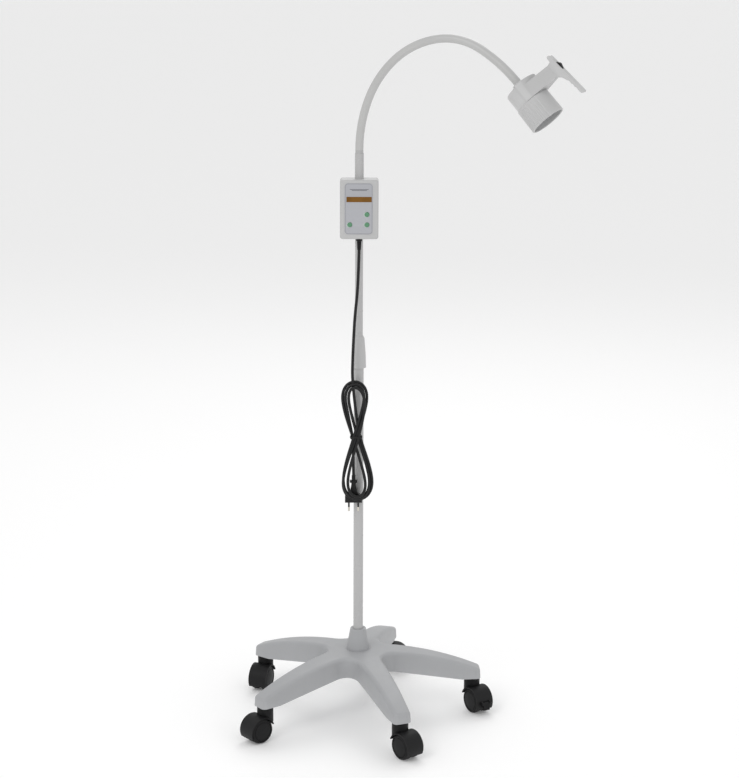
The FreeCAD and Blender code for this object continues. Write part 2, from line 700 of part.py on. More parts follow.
def neck_frames():
    """Start frame of every gooseneck link and of the head, tangent along local Z."""
    plane = FreeCAD.Rotation(number("neck_yaw"), 0, 0)
    length = number("neck_link")
    frames = []
    lean = 0.0
    across = 0.0
    height = number("neck_base")
    for index in range(1, 7):
        place = plane.multVec(vector(across, 0, height))
        turned = plane.multiply(FreeCAD.Rotation(vector(0, 1, 0), math.degrees(lean)))
        frames.append(FreeCAD.Placement(place, turned))
        if index == 6:
            break
        bend = math.radians(number(f"neck_bend{index}"))
        radius = length / bend
        across += radius * (math.cos(lean) - math.cos(lean + bend))
        height += radius * (math.sin(lean + bend) - math.sin(lean))
        lean += bend
    return frames


def neck_ferrule():
    body = new_body("neck_ferrule")
    corners = [("0", "ferrule_bottom"), ("ferrule_radius", "ferrule_bottom"),
               ("ferrule_radius", "ferrule_top - 1"), ("ferrule_radius - 0.5", "ferrule_top"),
               ("neck_radius", "ferrule_top"), ("neck_radius", "neck_base"), ("0", "neck_base")]
    turn(body, "Revolution", outline(body, "XZ_Plane", corners))
    ball(body, "Additive", "neck_radius", (0, 0, number("neck_base")))


def neck_link(index, frame):
    """Bent length of sleeve with a cup at its start and a ball at its end."""
    body = new_body(f"neck_{index}", frame)
    bend = math.radians(number(f"neck_bend{index}"))
    radius = number("neck_link") / bend
    sketch = circles(body, "XY_Plane", [("0", "0")], "neck_radius")
    hinge = sketch.addGeometry(Part.LineSegment(vector(radius, -10, 0), vector(radius, 10, 0)), True)
    pin_point(sketch, hinge, 1, f"neck_link * 180 / (pi * neck_bend{index})", "-10")
    pin_point(sketch, hinge, 2, f"neck_link * 180 / (pi * neck_bend{index})", "10")
    turn(body, "Revolution", sketch, "Axis0", f"neck_bend{index}")
    end = (radius * (1 - math.cos(bend)), 0, radius * math.sin(bend))
    ball(body, "Additive", "neck_radius", end)
    ball(body, "Subtractive", "neck_radius + neck_gap")


# Lamp head ------------------------------------------------------------------------

def head_place():
    """Head frame: +X along the barrel to its mouth, +Z towards the handle."""
    end = neck_frames()[-1]
    along = end.Rotation.multVec(vector(0, 0, 1))
    place = end.Base + along * number("head_offset")
    turned = end.Rotation.multiply(FreeCAD.Rotation(vector(0, 1, 0), -90))
    return FreeCAD.Placement(place, turned)


def head_turned(label, corners):
    """Round part of the head; each corner is (along the barrel, from its axis)."""
    body = new_body(label, head_place())
    turn(body, "Revolution", outline(body, "XZ_Plane", corners), "H_Axis")
    return body


def neck_collar():
    rear = "-head_offset + 0.5"
    front = "-head_offset + 3.5"
    corners = [(rear, "0"), (rear, "11.8"), (f"{rear} + 0.7", "12.5"),
               (f"{front} - 0.7", "12.5"), (front, "11.8"), (front, "0")]
    body = head_turned("neck_collar", corners)
    ball(body, "Subtractive", "neck_radius + neck_gap", (-number("head_offset"), 0, 0))


def rear_housing():
    rear = "-head_offset + 3.5"
    corners = [(rear, "9.5"), (rear, "13"), ("-housing_length - 1", "housing_radius - 1.5"),
               ("-housing_length + 1", "housing_radius"), ("0", "housing_radius"),
               ("0", "housing_radius - 2.5"), ("-housing_length + 2", "housing_radius - 2.5"),
               (f"{rear} + 2.5", "12"), (f"{rear} + 2.5", "9.5")]
    head_turned("rear_housing", corners)


def barrel():
    """Open barrel with flutes over the side away from the handle."""
    corners = [("0", "28"), ("0", "barrel_radius - 1.2"), ("1.2", "barrel_radius - 0.4"),
               ("barrel_length - 1", "barrel_radius + 0.3"),
               ("barrel_length", "barrel_radius - 0.6"), ("barrel_length", "barrel_bore + 0.6"),
               ("barrel_length - 1", "barrel_bore"), ("2.5", "barrel_bore"), ("2.5", "28")]
    body = head_turned("barrel", corners)
    first = [("flute_centre * sin(56)", "flute_centre * cos(56)")]
    flute = circles(body, "YZ_Plane", first, "flute_radius", "-1")
    cut = pocket(body, flute, "barrel_length + 2", reverse=True)
    polar(body, cut, "X_Axis", 21, "248").Reversed = True


def lamp_parts():
    lens_face = "lens_place + 3"
    corners = [("lens_place", "0"), ("lens_place", "barrel_bore - 0.3"),
               (lens_face, "barrel_bore - 0.3"), (f"{lens_face} + 2", "20"),
               (f"{lens_face} + 2.8", "10"), (f"{lens_face} + 3", "0")]
    head_turned("lens", corners)
    board = head_turned("led_board", [("5", "0"), ("5", "27"), ("6.6", "27"), ("6.6", "0")])
    places = [("0", "0")]
    for count, radius in ((6, 10), (12, 20)):
        for k in range(count):
            angle = 360 / count * k
            places.append((f"{radius} * cos({angle})", f"{radius} * sin({angle})"))
    pad(board, circles(board, "YZ_Plane", places, "2.5", "6.6"), "3")
    sink = head_turned("heat_sink", [("-18", "0"), ("-18", "27.5"), ("5", "27.5"), ("5", "0")])
    for k in range(-5, 6):
        slot = rectangle(sink, "YZ_Plane", f"{5 * k} - 1.2", f"{5 * k} + 1.2", "-30", "30", "-20")
        pocket(sink, slot, "20", reverse=True)


def handle():
    """Saddle over the rear housing with a T-shaped grip."""
    body = new_body("handle", head_place())
    cap = [("-0.4", "saddle_radius"), ("-37", "saddle_radius"), ("-38.3", "saddle_radius - 1.3"),
           ("-40.4", "14.8"), ("-40.4", "13.9"), ("-35.1", "housing_radius - 1.2"),
           ("-33", "housing_radius + 0.1"), ("-0.4", "housing_radius + 0.1")]
    turn(body, "Revolution", outline(body, "XZ_Plane", cap), "H_Axis", "168", both=True)
    rise = "handle_reach + handle_flare * (37 + ({0})) / 90"
    corners = [("-29", "housing_radius - 0.5"), ("-28", "70"), ("-30", "76"), ("-41", "77"),
               ("-41", rise.format("-41")), ("54", rise.format("54")),
               ("54", f"{rise.format('54')} - 5.6"), ("20", f"{rise.format('20')} - 7.5"),
               ("8", f"{rise.format('8')} - 11"), ("-1", "68"), ("-1", "housing_radius - 0.5")]
    grip = pad(body, outline(body, "XZ_Plane", corners), "handle_half * 2", both=True)
    across = runs_along(vector(0, 1, 0))

    def near(places):
        def test(edge):
            if not across(edge):
                return False
            middle = edge.CenterOfMass
            return any(math.hypot(middle.x - x, middle.z - z) < 1 for x, z in places)
        return test

    def spot(index):
        return number(corners[index][0]), number(corners[index][1])
    tips = soften(body, grip, "Fillet", "2.7", near([spot(4), spot(5), spot(6), spot(3)]))
    bends = soften(body, tips, "Fillet", "9", near([spot(1), spot(9)]))
    soften(body, bends, "Fillet", "14", near([spot(8)]))
    flare = [("handle_half", "70"), ("-handle_half", "70"), ("-32.4", "12"), ("32.4", "12")]
    pad(body, outline(body, "YZ_Plane", flare, "-28"), "27")
    bore = circles(body, "YZ_Plane", [("0", "0")], "housing_radius + 0.1", "-33")
    pocket(body, bore, "120", reverse=True)
    waves = [(f"{23 + 9 * k}", f"{rise.format(23 + 9 * k)} - 14.4 + {0.5 * k}") for k in range(3)]
    for wave in waves:
        pocket(body, circles(body, "XZ_Plane", [wave], "8.2"), "handle_half * 3", both=True)
    well = rectangle(body, "XZ_Plane", "-23", "-5", "handle_reach - 5", "handle_reach + 12")
    pocket(body, well, "9.4", both=True)


def trigger_switch():
    """Wedge that rocks on a pin across the outer face of the grip."""
    body = new_body("trigger_switch", head_place())
    corners = [("-22", "handle_reach - 1.5"), ("-22", "handle_reach + 1.8"),
               ("-17", "handle_reach + 5.2"), ("-14", "handle_reach + 5"),
               ("-6", "handle_reach + 2.6"), ("-6", "handle_reach - 0.5"),
               ("-12", "handle_reach - 3"), ("-16", "handle_reach - 3")]
    wedge = pad(body, outline(body, "XZ_Plane", corners), "8.6", both=True)
    soften(body, wedge, "Fillet", "0.8", runs_along(vector(0, 1, 0)))


# Mains cord -----------------------------------------------------------------------

def cord_path(points):
    """Straight runs joined by tangent arcs through a route's points."""
    edges = []
    here = points[0]
    for before, corner, after in zip(points, points[1:], points[2:]):
        backward = (before - corner).normalize()
        forward = (after - corner).normalize()
        half_turn = (math.pi - backward.getAngle(forward)) / 2
        reach = 0.45 * min((before - corner).Length, (after - corner).Length)
        radius = reach / math.tan(half_turn)
        print(f"cord bend radius {radius:.0f} mm")
        centre = corner + (backward + forward).normalize() * (radius / math.cos(half_turn))
        inward = (corner - centre).normalize()
        start = corner + backward * reach
        end = corner + forward * reach
        edges.append(Part.LineSegment(here, start).toShape())
        edges.append(Part.Arc(start, centre + inward * radius, end).toShape())
        here = end
    edges.append(Part.LineSegment(here, points[-1]).toShape())
    return Part.Wire(edges)


def cord_tube(label, points):
    path = cord_path([vector(*point) for point in points])
    first = path.Edges[0]
    along = first.tangentAt(first.FirstParameter)
    circle = Part.makeCircle(number("cord_radius"), path.Vertexes[0].Point, along)
    tube = path.makePipeShell([Part.Wire(circle)], True, True)
    expected = math.pi * number("cord_radius") ** 2 * path.Length
    print(f"{label} length {path.Length:.0f} mm, volume ratio {tube.Volume / expected:.4f}")
    item = document.addObject("Part::Feature", label)
    item.Label = label
    item.Shape = tube
    SUB_PARTS.append(item)


def hank_loop(across, low, high, half):
    """Upright flat ring of wound cord."""
    centre = vector(across, -number("cord_back"), (low + high) / 2)
    tall = (high - low) / 2
    bundle = number("hank_bundle")
    rings = []
    for shrink in (0, bundle):
        ellipse = Part.Ellipse(centre + vector(0, 0, tall - shrink),
                               centre + vector(half - shrink, 0, 0), centre)
        face = Part.Face(Part.Wire(ellipse.toShape()))
        rings.append(face.extrude(vector(0, -number("hank_depth"), 0)))
    return rings[0].cut(rings[1])


def mains_cord():
    back = -number("cord_back")
    across = number("hank_across")
    middle = back - number("hank_depth") / 2
    cord_tube("cord_lead", [
        (0, -number("gland_forward"), number("gland_bottom")), (-1, -19, 946),
        (-3, -25.5, 899), (-8, -30, 853), (-10.5, -33, 807), (-12.4, -34.4, 761),
        (across, middle, number("hank_top"))])
    upper = hank_loop(number("upper_loop_across"), number("hank_waist") - 10, number("hank_top"), 27.5)
    lower = hank_loop(number("lower_loop_across"), number("hank_bottom"),
                      number("hank_waist") + 10, 32.8)
    hank = document.addObject("Part::Feature", "cord_hank")
    hank.Label = "cord_hank"
    hank.Shape = upper.fuse(lower).removeSplitter()
    SUB_PARTS.append(hank)
    plug_back = -number("plug_forward")
    cord_tube("cord_tail", [
        (number("plug_across"), back + 3, number("hank_waist") - 12),
        (number("plug_across") - 1, back + 5, 557),
        (number("plug_across"), plug_back, number("plug_top"))])


def plug():
    place = FreeCAD.Placement(vector(number("plug_across"), -number("plug_forward"), 0),
                              FreeCAD.Rotation())
    body = new_body("plug", place)
    side = [("7.7", "509.5"), ("7.7", "506"), ("4.4", "504.5"), ("5", "498"), ("7.3", "485.5"),
            ("12", "480"), ("17.5", "477.5"), ("17.5", "plug_face")]
    corners = side + [(f"-{across}", up) for across, up in reversed(side)]
    shell = pad(body, outline(body, "XZ_Plane", corners), "12", both=True)
    soften(body, shell, "Fillet", "1.8", lies_at("Y", 6))
    soften(body, body.Tip, "Fillet", "1.8", lies_at("Y", -6))
    relief = circles(body, "XY_Plane", [("0", "0")], "4", "506")
    pad(body, relief, "plug_top - 506")
    sockets = [("-pin_spacing / 2", "0"), ("pin_spacing / 2", "0")]
    pad(body, circles(body, "XY_Plane", sockets, "pin_sleeve_radius", "plug_face - pin_neck"),
        "pin_neck + 1")
    pocket(body, circles(body, "XY_Plane", sockets, "pin_neck_radius", "plug_face - pin_neck"),
           "pin_neck + 13", reverse=True)
    pins = new_body("plug_pins", place)
    pad(pins, circles(pins, "XY_Plane", sockets, "pin_radius", "plug_face - pin_length"),
        "pin_length - pin_neck")
    soften(pins, pins.Tip, "Fillet", "1", lies_at("Z", number("plug_face - pin_length")))
    pad(pins, circles(pins, "XY_Plane", sockets, "pin_neck_radius", "plug_face - pin_neck"),
        "pin_neck + 13")


def build_all():
    fill_sheet()
    base_star()
    hub_cone()
    base_nut()
    pole_parts()
    tube_collet()
    lock_collar()
    for index in range(5):
        castor_hood(index)
        castor_pins(index)
        castor_wheel(index, 1, "left")
        castor_wheel(index, -1, "right")
    brake_tab()
    box_front()
    box_rear()
    box_screws()
    panel_overlay()
    display_parts()
    push_buttons()
    pole_bracket()
    cord_gland()
    neck_ferrule()
    for index, frame in enumerate(neck_frames()[:5], start=1):
        neck_link(index, frame)
    neck_collar()
    rear_housing()
    barrel()
    lamp_parts()
    handle()
    trigger_switch()
    mains_cord()
    plug()


def check_and_write():
    document.recompute()
    failed = [item for item in document.Objects
              if any(state in ("Invalid", "Error") for state in item.State)]
    if failed:
        names = [f"{item.getParentGeoFeatureGroup().Label}.{item.Label}" for item in failed]
        raise RuntimeError(f"these features failed: {names}")
    os.makedirs("parts", exist_ok=True)
    for item in SUB_PARTS:
        if item.Shape.isNull() or not item.Shape.isValid():
            raise RuntimeError(f"{item.Label} has no valid shape")
        item.Shape.exportStep(f"parts/{item.Label}.step")
        print(f"{item.Label}: {item.Shape.Volume:.0f} mm3, {len(item.Shape.Solids)} solid")


build_all()
check_and_write()
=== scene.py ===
"""Looks for the curing light: camera, studio, cord, gooseneck skin and materials."""
import math
import bpy
from mathutils import Matrix, Vector
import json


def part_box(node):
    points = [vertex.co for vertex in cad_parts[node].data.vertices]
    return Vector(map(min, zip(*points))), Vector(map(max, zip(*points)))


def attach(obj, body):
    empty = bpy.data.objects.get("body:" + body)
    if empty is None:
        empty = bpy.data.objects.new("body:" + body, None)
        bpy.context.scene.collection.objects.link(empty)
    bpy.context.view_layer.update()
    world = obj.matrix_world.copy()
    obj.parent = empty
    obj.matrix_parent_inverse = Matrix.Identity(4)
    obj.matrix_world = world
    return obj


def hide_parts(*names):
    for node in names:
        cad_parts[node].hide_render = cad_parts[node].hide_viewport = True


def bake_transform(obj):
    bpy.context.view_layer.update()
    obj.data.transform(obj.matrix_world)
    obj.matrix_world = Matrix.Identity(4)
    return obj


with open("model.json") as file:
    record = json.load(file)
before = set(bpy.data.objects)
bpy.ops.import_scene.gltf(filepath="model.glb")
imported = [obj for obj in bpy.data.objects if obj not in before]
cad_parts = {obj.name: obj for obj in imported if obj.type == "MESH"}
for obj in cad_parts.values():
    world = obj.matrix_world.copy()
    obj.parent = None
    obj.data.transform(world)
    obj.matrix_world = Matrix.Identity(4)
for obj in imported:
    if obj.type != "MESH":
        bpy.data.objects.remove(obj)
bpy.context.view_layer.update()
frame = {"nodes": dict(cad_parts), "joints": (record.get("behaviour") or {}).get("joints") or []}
NODES = frame["nodes"]
JOINTS = {joint["name"]: joint for joint in frame["joints"]}


# Camera ---------------------------------------------------------------------------

CAMERA_PLACE = (0, -3.837, 1.645)
CAMERA_DOWN = 13.9
CAMERA_PAN = -0.325
CAMERA_ROLL = 0.23
LENS_MM = 90.4
SENSOR_MM = 36


def make_camera():
    """Long lens from above the lamp's full height, looking down at it."""
    data = bpy.data.cameras.new("camera")
    data.lens = LENS_MM
    data.sensor_width = SENSOR_MM
    camera = bpy.data.objects.new("camera", data)
    pan = Matrix.Rotation(math.radians(CAMERA_PAN), 4, "Z")
    pitch = Matrix.Rotation(math.radians(90 - CAMERA_DOWN), 4, "X")
    roll = Matrix.Rotation(math.radians(CAMERA_ROLL), 4, "Z")
    place = Matrix.Translation(CAMERA_PLACE)
    camera.matrix_world = place @ pan @ pitch @ roll
    bpy.context.scene.collection.objects.link(camera)
    bpy.context.scene.camera = camera


make_camera()


# Materials ------------------------------------------------------------------------

class Shade:
    """A procedural material under construction."""

    def __init__(self, name, color, roughness, metallic=0.0):
        self.material = bpy.data.materials.new(name)
        self.material.use_nodes = True
        self.tree = self.material.node_tree
        self.shader = self.tree.nodes["Principled BSDF"]
        self.shader.inputs["Base Color"].default_value = (*color, 1)
        self.shader.inputs["Roughness"].default_value = roughness
        self.shader.inputs["Metallic"].default_value = metallic
        self.color = color
        self.roughness = roughness
        self.height = None
        self.coordinates = self.tree.nodes.new("ShaderNodeTexCoord").outputs["Object"]

    def node(self, kind, **inputs):
        """Add a shader node and set its inputs by name."""
        made = self.tree.nodes.new(f"ShaderNode{kind}")
        for name, value in inputs.items():
            made.inputs[name.replace("_", " ")].default_value = value
        return made

    def link(self, source, target):
        self.tree.links.new(source, target)

    def noise(self, scale, detail=3.0, stretch=None):
        """Noise factor on the object's own coordinates, stretched if asked."""
        made = self.node("TexNoise", Scale=scale, Detail=detail, Roughness=0.55)
        source = self.coordinates
        if stretch:
            mapping = self.node("Mapping", Scale=stretch)
            self.link(source, mapping.inputs["Vector"])
            source = mapping.outputs["Vector"]
        self.link(source, made.inputs["Vector"])
        return made.outputs["Fac"]

    def spread(self, source, low, high, first=0.3, last=0.7):
        """Map a factor between two numbers."""
        made = self.node("MapRange")
        made.inputs["From Min"].default_value = first
        made.inputs["From Max"].default_value = last
        made.inputs["To Min"].default_value = low
        made.inputs["To Max"].default_value = high
        self.link(source, made.inputs["Value"])
        return made.outputs["Result"]

    def tint(self, factor, other):
        """Mix the colour so far with another by a factor."""
        mix = self.node("Mix")
        mix.data_type = "RGBA"
        sockets = [item for item in mix.inputs if item.type == "RGBA"]
        target = self.shader.inputs["Base Color"]
        if target.is_linked:
            self.link(target.links[0].from_socket, sockets[0])
        else:
            sockets[0].default_value = (*self.color, 1)
        sockets[1].default_value = (*other, 1)
        self.link(factor, mix.inputs["Factor"])
        result = next(item for item in mix.outputs if item.type == "RGBA")
        self.link(result, target)

    def vary_roughness(self, source, swing):
        """Let a factor move the roughness up and down by a swing."""
        low = max(self.roughness - swing, 0.02)
        self.link(self.spread(source, low, self.roughness + swing), self.shader.inputs["Roughness"])

    def bump(self, source, distance):
        """Add relief from a factor on top of any relief so far."""
        made = self.node("Bump", Distance=distance, Strength=0.5)
        self.link(source, made.inputs["Height"])
        if self.height:
            self.link(self.height, made.inputs["Normal"])
        self.height = made.outputs["Normal"]
        self.link(self.height, self.shader.inputs["Normal"])

    def edge_factor(self, low, high):
        """One on convex edges, fading to zero on flat surfaces."""
        shape = self.node("NewGeometry")
        return self.spread(shape.outputs["Pointiness"], 0, 1, low, high)


def moulded(name, color, roughness=0.42, grain=900, depth=0.00004, shine=0.5):
    """Moulded plastic: fine grain, faint mottling and a painted highlight that lightens convex
    edges slightly.
    """
    shade = Shade(name, color, roughness)
    shade.shader.inputs["Specular IOR Level"].default_value = shine
    cloud = shade.noise(9, 4)
    darker = [channel * 0.93 for channel in color]
    shade.tint(shade.spread(cloud, 0, 1), darker)
    # Painted highlight: convex edges are tinted slightly lighter than the flat faces.
    painted_edge_highlight = [min(channel * 1.08 + 0.004, 1) for channel in color]
    shade.tint(shade.edge_factor(0.52, 0.62), painted_edge_highlight)
    fine = shade.noise(grain, 2)
    shade.vary_roughness(shade.noise(60, 3), 0.05)
    shade.bump(fine, depth)
    return shade.material


def dress(material, *names):
    """Give CAD nodes a finished material."""
    for name in names:
        slots = NODES[name].data.materials
        slots.clear()
        slots.append(material)


WHITE = moulded("warm_white_plastic", (0.475, 0.475, 0.475), 0.38)
BASE = moulded("grey_base_plastic", (0.375, 0.38, 0.39), 0.45, grain=700, depth=0.00006)
PAINT = moulded("white_tube_paint", (0.42, 0.42, 0.42), 0.3, grain=300, depth=0.00002)
SLEEVE = moulded("pvc_sleeve", (0.485, 0.485, 0.48), 0.36, grain=500, depth=0.00003)
BLACK = moulded("black_hood_plastic", (0.006, 0.006, 0.0065), 0.5, grain=1100, depth=0.00005,
                shine=0.2)
WHEEL = moulded("black_wheel_plastic", (0.006, 0.006, 0.0065), 0.5, grain=600, depth=0.00004,
                shine=0.22)
CORD = moulded("black_cord_pvc", (0.007, 0.007, 0.0075), 0.45, grain=800, depth=0.00003,
               shine=0.3)
FILM = moulded("panel_film", (0.385, 0.39, 0.415), 0.4, grain=1500, depth=0.00001, shine=0.4)
KEY = moulded("green_key", (0.11, 0.27, 0.155), 0.42, grain=900, depth=0.00002, shine=0.35)
BOARD = moulded("green_board", (0.03, 0.16, 0.07), 0.5)
INK = moulded("grey_ink", (0.21, 0.21, 0.235), 0.5, grain=1500, depth=0.00001)
DARK_INK = moulded("dark_ink", (0.06, 0.06, 0.075), 0.5, grain=1500, depth=0.00001)
PALE_INK = moulded("pale_ink", (0.47, 0.53, 0.50), 0.5, grain=1500, depth=0.00001)


def metal(name, color, roughness, stretch):
    """Bare metal with fine lines and a slightly darker mottling."""
    shade = Shade(name, color, roughness, metallic=1.0)
    lines = shade.noise(220, 3, stretch=stretch)
    shade.vary_roughness(lines, 0.09)
    shade.bump(lines, 0.00001)
    shade.tint(shade.spread(shade.noise(14, 3), 0, 1), [channel * 0.85 for channel in color])
    return shade.material


STEEL = metal("turned_steel", (0.62, 0.62, 0.63), 0.28, (1, 1, 12))
ALUMINIUM = metal("finned_aluminium", (0.72, 0.72, 0.74), 0.35, (8, 8, 1))
NICKEL = metal("nickel_pin", (0.66, 0.63, 0.56), 0.2, (1, 1, 8))


def clear_lens():
    """Clear acrylic with faint ripples."""
    shade = Shade("lens_acrylic", (0.85, 0.88, 0.92), 0.12)
    shade.shader.inputs["Transmission Weight"].default_value = 0.85
    shade.shader.inputs["IOR"].default_value = 1.49
    shade.bump(shade.noise(90, 2), 0.0001)
    return shade.material


def amber_window():
    """Dark amber display window, unlit."""
    shade = Shade("amber_window", (0.155, 0.066, 0.006), 0.2)
    shade.shader.inputs["Specular IOR Level"].default_value = 0.25
    shade.tint(shade.spread(shade.noise(40, 2), 0, 1), (0.20, 0.088, 0.010))
    shade.bump(shade.noise(120, 2), 0.00002)
    return shade.material


dress(WHITE, "box_front", "box_rear", "lock_collar", "neck_collar", "rear_housing", "barrel",
      "handle", "tube_collet", "glide_bush", "pole_bracket")
dress(BASE, "base_star", "hub_cone")
dress(PAINT, "lower_tube", "upper_tube", "neck_ferrule")
dress(FILM, "panel_overlay")
dress(KEY, "button_upper", "button_lower", "button_left")
dress(BOARD, "circuit_board", "display_module", "led_board")
dress(amber_window(), "display_window")
dress(clear_lens(), "lens")
dress(STEEL, "base_nut", "box_screws")
dress(ALUMINIUM, "heat_sink")
dress(NICKEL, "plug_pins")
dress(BLACK, "cord_gland", "trigger_switch", "brake_tab")
dress(CORD, "plug")
for number in range(1, 6):
    dress(BLACK, f"castor_{number}_hood")
    dress(STEEL, f"castor_{number}_pins")
    dress(WHEEL, f"castor_{number}_wheel_left", f"castor_{number}_wheel_right")


# Meshes ---------------------------------------------------------------------------

def new_piece(name, vertices, faces, material, body):
    """Smooth mesh piece with its material slot, riding on a body if one is given."""
    mesh = bpy.data.meshes.new(name)
    mesh.from_pydata(vertices, [], faces)
    mesh.shade_smooth()
    mesh.materials.append(material)
    piece = bpy.data.objects.new(name, mesh)
    bpy.context.scene.collection.objects.link(piece)
    if body:
        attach(piece, body)
    return piece


def swept_band(path, profile):
    """Profile carried round a closed path; the profile's pairs are out and along Z."""
    vertices = []
    faces = []
    for place, outward in path:
        for out, up in profile:
            vertices.append(place + outward * out + Vector((0, 0, up)))
    count = len(profile)
    for row in range(len(path)):
        after = (row + 1) % len(path)
        for item in range(count):
            beside = (item + 1) % count
            faces.append((row * count + item, after * count + item,
                          after * count + beside, row * count + beside))
    return vertices, faces


# Mains cord -----------------------------------------------------------------------

CORD_RADIUS = 0.003
LEAD = [(0, -0.017, 0.9835), (-0.001, -0.019, 0.946), (-0.003, -0.0255, 0.899),
        (-0.008, -0.030, 0.853), (-0.0105, -0.033, 0.807), (-0.0124, -0.0344, 0.761),
        (-0.013, -0.035, 0.7225)]
TAIL = [(-0.010, -0.0255, 0.592), (-0.011, -0.0235, 0.557), (-0.010, -0.022, 0.520)]
# Width of each half turn of the hank against the widest, and its place front to back.
LOBES = [(0.30, -0.004), (1.00, 0.005), (1.00, 0.005), (0.74, -0.005), (0.66, -0.006),
         (0.88, 0.0), (0.84, -0.001)]
# Sideways place of each crossing of the hank's waist, and the waist's height.
WAIST_SHIFTS = [0.007, 0.0, -0.007, 0.005, 0.0025, -0.005, -0.0025]
WAIST = 0.604
WAIST_MIDDLE = -0.005
TURN_STEPS = 16
# Middle and half width of the hank's upper and lower loops.
UPPER_LOOP = (-0.0075, 0.0275)
LOWER_LOOP = (-0.0022, 0.0328)


def hank_points():
    """Figure-8 turns: down the upper loop's left, down the lower's right, up its left and back."""
    low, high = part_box("cord_hank")
    depth = (low[1] + high[1]) / 2
    points = []
    for step in range(TURN_STEPS // 8 + 1, 3 * TURN_STEPS + TURN_STEPS // 4):
        angle = 2 * math.pi * step / TURN_STEPS
        size, layer = LOBES[round(2 * step / TURN_STEPS)]
        shift = WAIST_SHIFTS[int(2 * step / TURN_STEPS)]
        upper = math.cos(angle) > 0
        middle, reach = UPPER_LOOP if upper else LOWER_LOOP
        half = reach - CORD_RADIUS
        end = high[2] - CORD_RADIUS if upper else low[2] + CORD_RADIUS
        tall = (end - WAIST) * (1 - 0.25 * (1 - size))
        near_waist = math.sin(angle) ** 2
        across = middle * (1 - near_waist) + WAIST_MIDDLE * near_waist
        points.append((across - half * size * math.sin(2 * angle) + shift * near_waist,
                       depth + layer * (1 - near_waist) + 0.0033 * math.sin(angle),
                       WAIST + tall * abs(math.cos(angle)) ** 0.85))
    return points


def make_cord():
    """One free cord from the gland to the plug, in place of its three CAD solids."""
    data = bpy.data.curves.new("mains_cord", "CURVE")
    data.dimensions = "3D"
    data.bevel_depth = CORD_RADIUS
    data.bevel_resolution = 5
    data.resolution_u = 12
    data.use_fill_caps = True
    spline = data.splines.new("NURBS")
    points = LEAD + hank_points() + TAIL
    spline.points.add(len(points) - 1)
    for point, place in zip(spline.points, points):
        point.co = (*place, 1)
    spline.order_u = 3
    spline.use_endpoint_u = True
    cord = bpy.data.objects.new("mains_cord", data)
    bpy.context.scene.collection.objects.link(cord)
    data.materials.append(CORD)
    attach(cord, "column")
    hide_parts("cord_lead", "cord_hank", "cord_tail")


make_cord()


def make_tie():
    """Soft band that holds the hank together where its loops cross."""
    low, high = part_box("cord_hank")
    centre = Vector((WAIST_MIDDLE, (low[1] + high[1]) / 2, WAIST))
    wide, deep = 0.0112, 0.0072
    path = []
    for step in range(48):
        angle = 2 * math.pi * step / 48
        out = Vector((math.cos(angle) / wide, math.sin(angle) / deep, 0)).normalized()
        place = centre + Vector((wide * math.cos(angle), deep * math.sin(angle), 0))
        place.z += 0.0012 * math.sin(3 * angle)
        path.append((place, out))
    profile = [(0, -0.0022), (0.0008, -0.0022), (0.0013, -0.001), (0.0013, 0.001),
               (0.0008, 0.0022), (0, 0.0022)]
    vertices, faces = swept_band(path, profile)
    new_piece("hank_tie", vertices, faces, CORD, "column")


make_tie()


# Gooseneck skin -------------------------------------------------------------------

def neck_arcs():
    """Start, start tangent, end and end tangent of each gooseneck link."""
    names = [name for name in JOINTS if name.startswith("neck_")]
    places = [Vector(JOINTS[name]["pos_m"]) for name in sorted(names) + ["head_nod"]]
    tangent = Vector((0, 0, 1))
    arcs = []
    for start, end in zip(places, places[1:]):
        chord = (end - start).normalized()
        after = 2 * tangent.dot(chord) * chord - tangent
        arcs.append((start, tangent, end, after))
        tangent = after
    return arcs


NECK_RADIUS = 0.008
NECK_STEPS = 16
NECK_SIDES = 40
NECK_IN_FERRULE = 0.014


def arc_points(arc, first, last):
    """Places and tangents along a link, as fractions of its bend."""
    start, tangent, end, after = arc
    bend = tangent.angle(after)
    radius = (end - start).length / (2 * math.sin(bend / 2))
    inward = (after - tangent * tangent.dot(after)).normalized()
    made = []
    for step in range(NECK_STEPS + 1):
        turn = bend * (first + (last - first) * step / NECK_STEPS)
        place = start + radius * (math.sin(turn) * tangent + (1 - math.cos(turn)) * inward)
        made.append((place, math.cos(turn) * tangent + math.sin(turn) * inward))
    return made


def tube_mesh(stations, normal):
    """Rings of vertices round a plane curve, with the faces between them."""
    vertices = []
    faces = []
    for place, tangent in stations:
        across = normal.cross(tangent).normalized()
        for side in range(NECK_SIDES):
            angle = 2 * math.pi * side / NECK_SIDES
            outward = math.cos(angle) * normal + math.sin(angle) * across
            vertices.append(place + NECK_RADIUS * outward)
    for row in range(len(stations) - 1):
        here = row * NECK_SIDES
        above = here + NECK_SIDES
        for side in range(NECK_SIDES):
            after = (side + 1) % NECK_SIDES
            faces.append((here + side, here + after, above + after, above + side))
    return vertices, faces


def make_neck():
    """Sleeve in six fixed skins, each laid across one hinge between two links."""
    arcs = neck_arcs()
    normal = Vector(JOINTS["neck_2_bow"]["axis"])
    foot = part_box("neck_ferrule")[1][2] - NECK_IN_FERRULE
    for index in range(6):
        stations = []
        if index == 0:
            root = arcs[0][0]
            stations += [(Vector((root.x, root.y, foot)), arcs[0][1]),
                         (Vector((root.x, root.y, (foot + root.z) / 2)), arcs[0][1])]
        else:
            stations += arc_points(arcs[index - 1], 0.5, 1)[:-1]
        if index < 5:
            stations += arc_points(arcs[index], 0, 0.5)
            along = arcs[index][1]
            joint = arcs[index][0]
        else:
            joint, along = arcs[4][2], arcs[4][3]
            stations += [(joint, along), (joint + along * 0.004, along)]
        vertices, faces = tube_mesh(stations, normal)
        skin = new_piece(f"neck_skin_{index + 1}", vertices, faces, SLEEVE, None)
        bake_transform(skin)
        if index < 5:
            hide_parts(f"neck_{index + 1}")


make_neck()


# Panel printing -------------------------------------------------------------------

